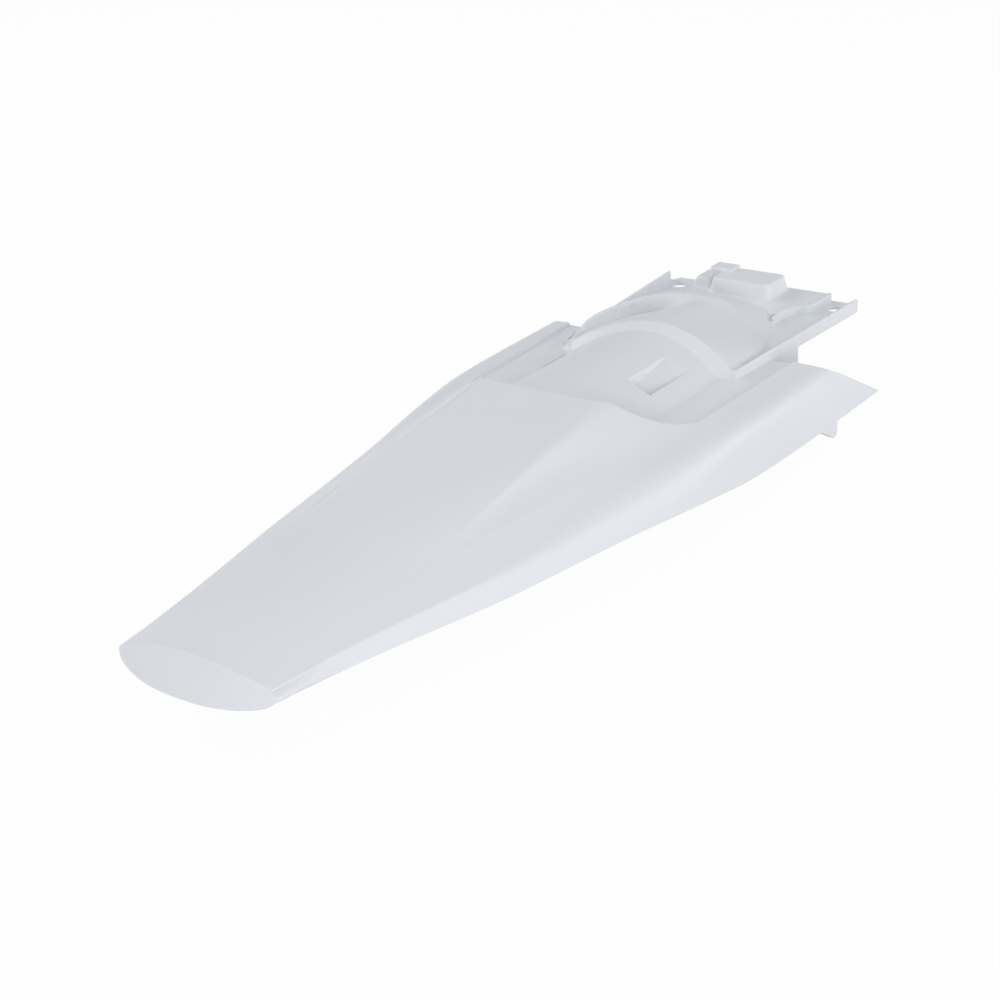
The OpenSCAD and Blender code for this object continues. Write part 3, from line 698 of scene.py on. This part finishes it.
# The CAD's box holds every point: fillets stand out of it by less than a third of a millimetre
points = np.clip(np.concatenate(points), cad_box[0], cad_box[1])
fender_mesh.from_pydata(points.tolist(), [], faces)
fender_mesh.shade_smooth()
fender_mesh.normals_split_custom_set(np.concatenate(normals).tolist())
fender = bpy.data.objects.new("fender", fender_mesh)
bpy.context.collection.objects.link(fender)
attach(fender, "root")
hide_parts("rear_fender")


class Value:
    """A shader socket that can stand in ordinary sums."""

    def __init__(self, tree, socket=None):
        self.tree, self.socket = tree, socket

    def node(self, kind, settings=(), output=0, **inputs):
        """Adds a node, sets it up, and fills or links its sockets by name."""
        made = self.tree.nodes.new(kind)
        for key, value in dict(settings).items():
            setattr(made, key, value)
        for key, value in inputs.items():
            socket = made.inputs[int(key[1:]) if key[1:].isdigit() else key.replace("_", " ")]
            if isinstance(value, Value):
                self.tree.links.new(value.socket, socket)
            else:
                socket.default_value = value
        return Value(self.tree, made.outputs[output] if made.outputs else None)

    def maths(self, operation, a, b):
        return self.node("ShaderNodeMath", {"operation": operation}, i0=a, i1=b)

    def __add__(self, other):
        return self.maths("ADD", self, other)

    def __mul__(self, other):
        return self.maths("MULTIPLY", self, other)

    __radd__ = __add__
    __rmul__ = __mul__


plastic = bpy.data.materials.new("white_polypropylene")
plastic.use_nodes = True
plastic.node_tree.nodes.clear()
start = Value(plastic.node_tree)
place = start.node("ShaderNodeTexCoord", output="Object")
cloud = start.node("ShaderNodeTexNoise", Vector=place, Scale=9.0, Detail=3.0, Roughness=0.6)
haze = start.node("ShaderNodeTexNoise", Vector=place, Scale=70.0, Detail=4.0, Roughness=0.6)
grain = start.node("ShaderNodeTexNoise", Vector=place, Scale=1400.0, Detail=2.0, Roughness=0.5)
tone = cloud * 0.6 + haze * 0.4
colour = start.node("ShaderNodeMix", {"data_type": "RGBA"}, output=2, i0=tone,
    i6=(0.785, 0.805, 0.845, 1), i7=(0.815, 0.835, 0.87, 1))
relief = start.node("ShaderNodeBump", Strength=0.06, Distance=0.0002, Height=grain + haze * 0.5)
surface = start.node("ShaderNodeBsdfPrincipled", Base_Color=colour, Roughness=0.38 + 0.12 * tone,
    Normal=relief, IOR=1.49)
start.node("ShaderNodeOutputMaterial", Surface=surface)
fender_mesh.materials.append(plastic)

# Floor: a plain pale sweep just under the fender. It takes the soft shadow, and the camera and the
# mirror rays see it as nearly white.
floor_mesh = bpy.data.meshes.new("floor")
reach, floor_gap = 4, 0.0005
floor_z = cad_box[0][2] - floor_gap
floor_mesh.from_pydata([(-reach, -reach, floor_z), (reach, -reach, floor_z), (reach, reach, floor_z),
    (-reach, reach, floor_z)], [], [(0, 1, 2, 3)])
floor = bpy.data.objects.new("floor", floor_mesh)
bpy.context.collection.objects.link(floor)
pale = bpy.data.materials.new("pale_floor")
pale.use_nodes = True
pale.node_tree.nodes.clear()
start = Value(pale.node_tree)
seen = start.node("ShaderNodeLightPath", output="Is Camera Ray")
mirrored = start.node("ShaderNodeLightPath", output="Is Glossy Ray")
through = start.node("ShaderNodeLightPath", output="Is Transmission Ray")
matt = start.node("ShaderNodeBsdfDiffuse", Color=(0.85, 0.85, 0.85, 1))
white = start.node("ShaderNodeEmission", Color=(1, 1, 1, 1), Strength=1.0)
floor_mix = start.node("ShaderNodeMixShader", i0=0.97 * (seen + mirrored + through), i1=matt, i2=white)
start.node("ShaderNodeOutputMaterial", Surface=floor_mix)
floor_mesh.materials.append(pale)

# Light: a pale room all round, seen as white, and soft lamps on both sides, behind the tail and
# above. All of them point at the fender's middle.
room = bpy.data.worlds.new("room")
bpy.context.scene.world = room
room.use_nodes = True
room.node_tree.nodes.clear()
start = Value(room.node_tree)
seen = start.node("ShaderNodeLightPath", output="Is Camera Ray")
around = start.node("ShaderNodeBackground", Color=(0.96, 0.98, 1.0, 1), Strength=0.35)
backdrop = start.node("ShaderNodeBackground", Color=(1, 1, 1, 1), Strength=1.0)
sky = start.node("ShaderNodeMixShader", i0=seen, i1=around, i2=backdrop)
start.node("ShaderNodeOutputWorld", Surface=sky)


def lamp(name, place, aim, size, power):
    light = bpy.data.lights.new(name, "AREA")
    light.shape = "RECTANGLE"
    (light.size, light.size_y), light.energy = size, power
    made = bpy.data.objects.new(name, light)
    made.location = place
    made.rotation_euler = (Vector(aim) - Vector(place)).to_track_quat("-Z", "Y").to_euler()
    bpy.context.collection.objects.link(made)


middle = (-0.34, 0, 0)
lamp("right_rear", (-1.8, -1.7, 0.15), middle, (1.4, 0.6), 12)
lamp("right", (-0.5, -2.1, 0.7), middle, (1.6, 0.8), 6)
lamp("right_front", (1.2, -1.6, 0.9), middle, (1.2, 1.2), 12)
lamp("left", (-0.3, 2.0, 1.2), middle, (1.4, 1.0), 18)
lamp("overhead", (-0.2, 0.2, 2.4), middle, (2.2, 2.2), 10)
lamp("behind", (-2.4, -0.3, 0.8), middle, (1.2, 1.0), 9)

# Camera: behind the tail, on the fender's right and above it, turned a little about its own line
# of sight.
camera_data = bpy.data.cameras.new("camera")
camera_data.lens, camera_data.sensor_width = 66.6, 36
camera = bpy.data.objects.new("camera", camera_data)
bpy.context.collection.objects.link(camera)
bpy.context.scene.camera = camera
to_right = (0.573122, -0.817718, -0.053564)
upward = (0.36823, 0.198589, 0.908278)
backward = (-0.732078, -0.540278, 0.414924)
axes = Matrix((to_right, upward, backward)).transposed().to_4x4()
camera_place = Vector((-1.3214, -0.6968, 0.4999))
camera.matrix_world = Matrix.Translation(camera_place) @ axes
bpy.context.scene.view_settings.view_transform = "Standard"

bpy.context.view_layer.update()
